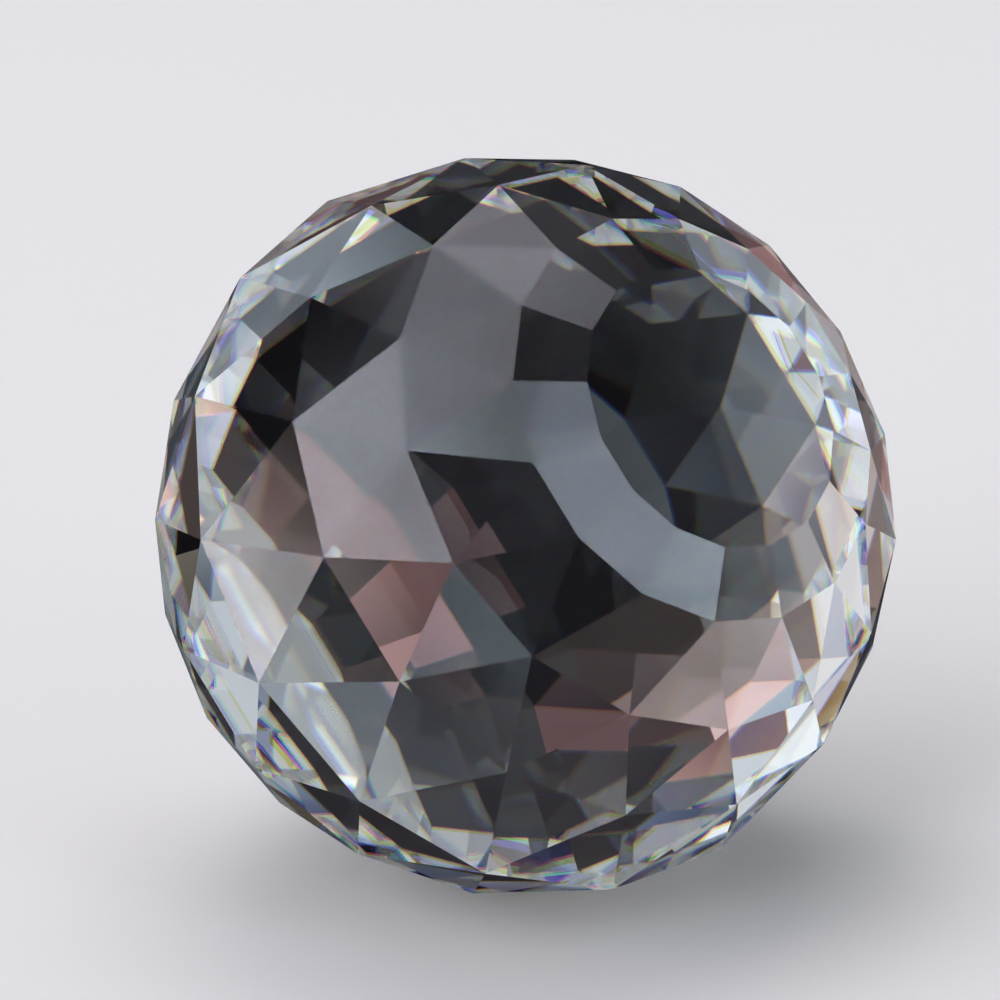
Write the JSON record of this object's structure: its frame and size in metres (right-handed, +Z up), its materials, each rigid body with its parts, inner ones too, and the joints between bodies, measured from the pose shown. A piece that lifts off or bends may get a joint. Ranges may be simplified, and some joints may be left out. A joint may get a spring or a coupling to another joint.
{
  "type": "crystal suncatcher ball",
  "caption": "Solid ball of clear optical crystal, cut all over with flat facets between two flat tables, lying on one of its facets.",
  "frame": {"origin": "on the ground under the ball's centre, in the plane of the facet that the ball lies on", "axes": "+Z up; -Y to the front, the side that the raised table leans towards; the cut mirrors across the plane X = 0"},
  "size_m": [0.0784, 0.077, 0.0768],
  "materials": {
    "clear_crystal": "polished, clear and colourless, with crisp facet edges"
  },
  "bodies": {
    "root": {"crystal_ball": "clear_crystal"}
  },
  "joints": []
}
